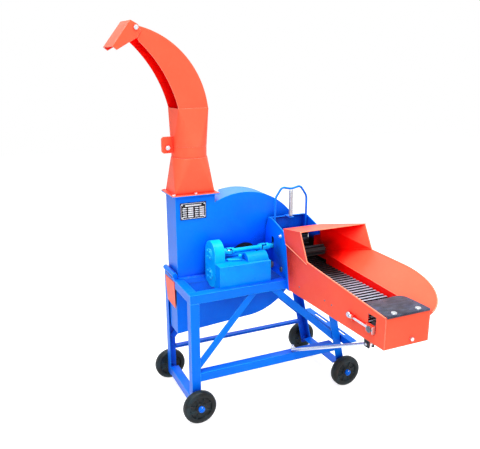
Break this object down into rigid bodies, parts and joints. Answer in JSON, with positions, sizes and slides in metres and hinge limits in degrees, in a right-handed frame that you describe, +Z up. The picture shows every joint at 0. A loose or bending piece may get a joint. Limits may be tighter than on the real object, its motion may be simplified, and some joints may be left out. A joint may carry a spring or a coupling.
{
  "type": "chaff cutter",
  "caption": "Electric-drive chaff cutter on a blue wheeled angle-iron frame, with an orange feed trough, slat conveyor, feed rollers, knife rotor and a tall swivelling discharge chute",
  "frame": {"origin": "on the ground under the middle of the overall box", "axes": "+X along the frame to the feed side's right, +Y away from the feeding side, +Z up"},
  "size_m": [1.0868, 1.208, 1.6888],
  "materials": {
    "blue_paint": "gloss enamel over sheet and angle iron",
    "orange_paint": "gloss enamel over sheet steel",
    "bright_steel": "zinc plated or bare machined steel",
    "dark_steel": "dark oiled steel and casting",
    "black_rubber": "matt black rubber",
    "plate": "black plate with a bright border, no lettering"
  },
  "bodies": {
    "frame": {"left_legs": "blue_paint", "right_legs": "blue_paint", "top_long_rails": "blue_paint", "top_end_rails": "blue_paint", "cross_rail": "blue_paint", "lower_long_rails": "blue_paint", "lower_end_rails": "blue_paint", "braces": "blue_paint", "motor_rail": "blue_paint", "side_guard": "orange_paint", "stub_axles": "bright_steel", "lower_casing": "blue_paint", "casing_hinge": "blue_paint", "main_bearings": "dark_steel", "bearing_bracket": "blue_paint", "gearbox_body": "blue_paint", "gear_cover": "blue_paint", "feed_side_plates": "blue_paint", "feed_rim": "blue_paint", "ledger_knife": "bright_steel", "trough_left_panel": "orange_paint", "trough_right_panel": "orange_paint", "trough_floor": "orange_paint", "trough_end_plate": "orange_paint", "hood": "orange_paint", "conveyor": "dark_steel", "drive_chain": "black_rubber", "rubber_flap": "black_rubber", "trough_bolts": "bright_steel"},
    "front_left_wheel": {"front_left_wheel": "black_rubber"},
    "front_right_wheel": {"front_right_wheel": "black_rubber"},
    "rear_left_wheel": {"rear_left_wheel": "black_rubber"},
    "rear_right_wheel": {"rear_right_wheel": "black_rubber"},
    "lid": {"upper_casing": "blue_paint", "nameplate": "plate", "chute_base": "orange_paint", "chute_base_bolts": "bright_steel"},
    "spout": {"chute": "orange_paint", "chute_bolts": "bright_steel"},
    "deflector": {"chute_flap": "orange_paint"},
    "rotor": {"main_shaft": "bright_steel", "flywheel": "dark_steel", "knives": "bright_steel", "drive_pulley": "dark_steel"},
    "lay_gear": {"lay_gear": "bright_steel"},
    "lower_feed": {"lower_shaft": "dark_steel", "lower_roller": "dark_steel"},
    "upper_drive": {"upper_gear_shaft": "bright_steel"},
    "cardan_ball": {"cardan_ball": "bright_steel"},
    "cardan_shaft": {"cardan_shaft": "blue_paint"},
    "carriage": {"roller_carriage": "blue_paint", "bail": "blue_paint", "tension_spring": "bright_steel"},
    "upper_roller": {"upper_roller": "dark_steel"},
    "press_roller": {"press_roller": "dark_steel"},
    "conveyor_drive": {"conveyor_drive": "dark_steel"},
    "tail_takeup": {"tail_takeup": "bright_steel"},
    "conveyor_tail": {"conveyor_tail": "bright_steel"},
    "support_rod": {"support_rod": "bright_steel"},
    "shift_lever": {"shift_lever": "blue_paint"}
  },
  "joints": [
    {"name": "main_spin", "type": "hinge", "parent": "frame", "child": "rotor", "pos_m": [0.04118, 0.335, 0.642], "axis": [0, 1, 0], "continuous": true},
    {"name": "lay_spin", "type": "hinge", "parent": "frame", "child": "lay_gear", "pos_m": [-0.01731, 0.287, 0.616], "axis": [0, 1, 0], "continuous": true},
    {"name": "lower_roller_spin", "type": "hinge", "parent": "frame", "child": "lower_feed", "pos_m": [0.15518, 0.242, 0.616], "axis": [1, 0, 0], "continuous": true},
    {"name": "upper_drive_spin", "type": "hinge", "parent": "frame", "child": "upper_drive", "pos_m": [-0.11082, 0.242, 0.708], "axis": [1, 0, 0], "continuous": true},
    {"name": "cardan_tilt", "type": "hinge", "parent": "frame", "child": "cardan_ball", "pos_m": [-0.07082, 0.242, 0.708], "axis": [0, -1, 0], "range_deg": [0, 9.88]},
    {"name": "cardan_spin", "type": "hinge", "parent": "cardan_ball", "child": "cardan_shaft", "pos_m": [-0.07082, 0.242, 0.708], "axis": [1, 0, 0], "continuous": true},
    {"name": "roller_lift", "type": "slide", "parent": "frame", "child": "carriage", "axis": [0, 0, 1], "range_m": [0, 0.03], "stiffness_N_per_m": 3000, "springref_m": -0.03, "deforming": ["tension_spring"]},
    {"name": "upper_roller_spin", "type": "hinge", "parent": "carriage", "child": "upper_roller", "pos_m": [0.16318, 0.242, 0.708], "axis": [1, 0, 0], "continuous": true},
    {"name": "press_roller_spin", "type": "hinge", "parent": "frame", "child": "press_roller", "pos_m": [0.15518, 0.092, 0.7096], "axis": [1, 0, 0], "continuous": true},
    {"name": "conveyor_drive_spin", "type": "hinge", "parent": "frame", "child": "conveyor_drive", "pos_m": [0.15518, 0.152, 0.6183], "axis": [1, 0, 0], "continuous": true},
    {"name": "tail_takeup", "type": "slide", "parent": "frame", "child": "tail_takeup", "axis": [0, 1, 0], "range_m": [0, 0.012]},
    {"name": "conveyor_tail_spin", "type": "hinge", "parent": "tail_takeup", "child": "conveyor_tail", "pos_m": [0.15518, -0.526, 0.6183], "axis": [1, 0, 0], "continuous": true},
    {"name": "casing_lid", "type": "hinge", "parent": "frame", "child": "lid", "pos_m": [-0.30382, 0.389, 0.601], "axis": [0, -1, 0], "range_deg": [0, 60]},
    {"name": "chute_swivel", "type": "hinge", "parent": "lid", "child": "spout", "pos_m": [-0.19632, 0.389, 1.128], "axis": [0, 0, 1], "range_deg": [-180, 180]},
    {"name": "deflector_tilt", "type": "hinge", "parent": "spout", "child": "deflector", "pos_m": [-0.43899, 0.3635, 1.66076], "axis": [-0.1045, 0.9945, 0], "range_deg": [-35, 25]},
    {"name": "support_rod_swing", "type": "hinge", "parent": "frame", "child": "support_rod", "pos_m": [0.19618, -0.455, 0.5182], "axis": [1, 0, 0], "range_deg": [0, 14]},
    {"name": "shift_lever_turn", "type": "hinge", "parent": "frame", "child": "shift_lever", "pos_m": [-0.08782, 0.195, 0.68], "axis": [0, 0, 1], "range_deg": [-15, 15]},
    {"name": "front_left_wheel_spin", "type": "hinge", "parent": "frame", "child": "front_left_wheel", "pos_m": [-0.28882, 0.067, 0.075], "axis": [0, 1, 0], "continuous": true},
    {"name": "front_right_wheel_spin", "type": "hinge", "parent": "frame", "child": "front_right_wheel", "pos_m": [0.46842, 0.067, 0.075], "axis": [0, 1, 0], "continuous": true},
    {"name": "rear_left_wheel_spin", "type": "hinge", "parent": "frame", "child": "rear_left_wheel", "pos_m": [-0.28882, 0.493, 0.075], "axis": [0, 1, 0], "continuous": true},
    {"name": "rear_right_wheel_spin", "type": "hinge", "parent": "frame", "child": "rear_right_wheel", "pos_m": [0.46842, 0.493, 0.075], "axis": [0, 1, 0], "continuous": true}
  ],
  "couplings": [
    {"joint": "lay_spin", "follows": "main_spin", "ratio": -0.77778},
    {"joint": "lower_roller_spin", "follows": "main_spin", "ratio": -0.51852},
    {"joint": "upper_drive_spin", "follows": "main_spin", "ratio": 0.51852},
    {"joint": "cardan_spin", "follows": "main_spin", "ratio": 0.51852},
    {"joint": "upper_roller_spin", "follows": "main_spin", "ratio": 0.51852},
    {"joint": "conveyor_drive_spin", "follows": "main_spin", "ratio": -0.51852},
    {"joint": "conveyor_tail_spin", "follows": "main_spin", "ratio": -0.51852},
    {"joint": "cardan_tilt", "follows": "roller_lift", "rad_per_m": 5.7471}
  ]
}
